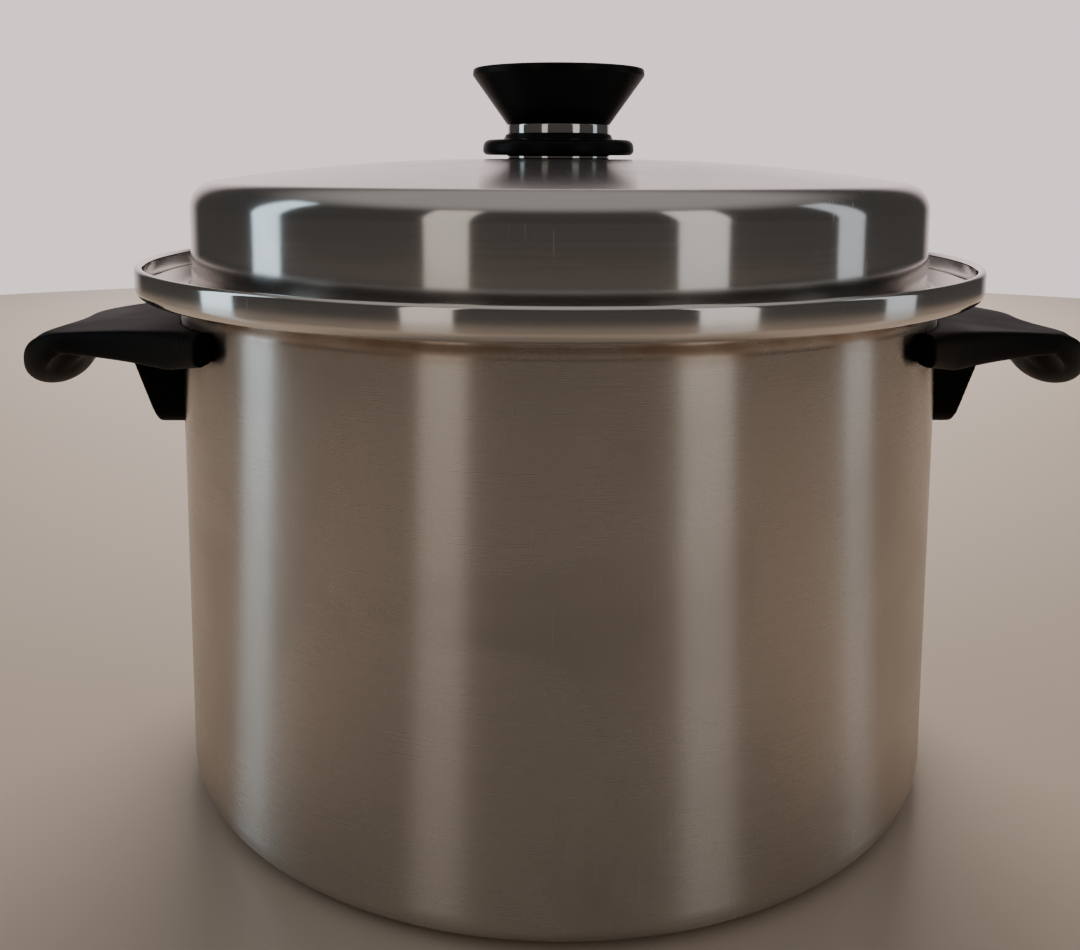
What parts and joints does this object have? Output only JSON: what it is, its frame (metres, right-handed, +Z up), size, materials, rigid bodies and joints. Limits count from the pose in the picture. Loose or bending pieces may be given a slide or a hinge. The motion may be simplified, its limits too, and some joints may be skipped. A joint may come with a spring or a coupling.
{
  "type": "lidded stock pot",
  "caption": "Round lidded steel pot with a flared rim, domed lid, flared black knob and black side handles, usable as a hot water bath.",
  "frame": {"origin": "centre of the base, on the surface that the pot stands on", "axes": "+Z up along the pot's axis, +X through the right handle"},
  "size_m": [0.364, 0.2772, 0.2328],
  "materials": {
    "body_steel": "satin, brushed round the pot, with a polished rim",
    "core_aluminium": "bonded core, bare metal",
    "inner_steel": "satin",
    "lid_steel": "satin top and polished side",
    "polished_steel": "mirror polished",
    "fixing_steel": "plain bright steel",
    "insert_brass": "turned brass",
    "knob_phenolic": "moulded phenolic, low sheen",
    "handle_phenolic": "moulded phenolic, low sheen"
  },
  "bodies": {
    "pot": {"pot_shell": "body_steel", "pot_core": "core_aluminium", "pot_liner": "inner_steel", "handle_right": "handle_phenolic", "handle_bracket_right": "fixing_steel", "handle_weld_nut_right": "fixing_steel", "handle_washer_right": "fixing_steel", "handle_screw_right": "fixing_steel", "handle_left": "handle_phenolic", "handle_bracket_left": "fixing_steel", "handle_weld_nut_left": "fixing_steel", "handle_washer_left": "fixing_steel", "handle_screw_left": "fixing_steel"},
    "lid_axle": {"knob_screw": "fixing_steel"},
    "lid": {"lid_shell": "lid_steel", "knob_washer": "fixing_steel", "knob_collar_lower": "polished_steel", "heat_guard": "knob_phenolic", "knob_collar_upper": "polished_steel", "knob_insert": "insert_brass", "knob_grip": "knob_phenolic"}
  },
  "joints": [
    {"name": "lid_lift", "type": "slide", "parent": "pot", "child": "lid_axle", "axis": [0, 0, 1], "range_m": [0, 0.1]},
    {"name": "lid_turn", "type": "hinge", "parent": "lid_axle", "child": "lid", "pos_m": [0, 0, 0.2], "axis": [0, 0, 1], "continuous": true}
  ]
}
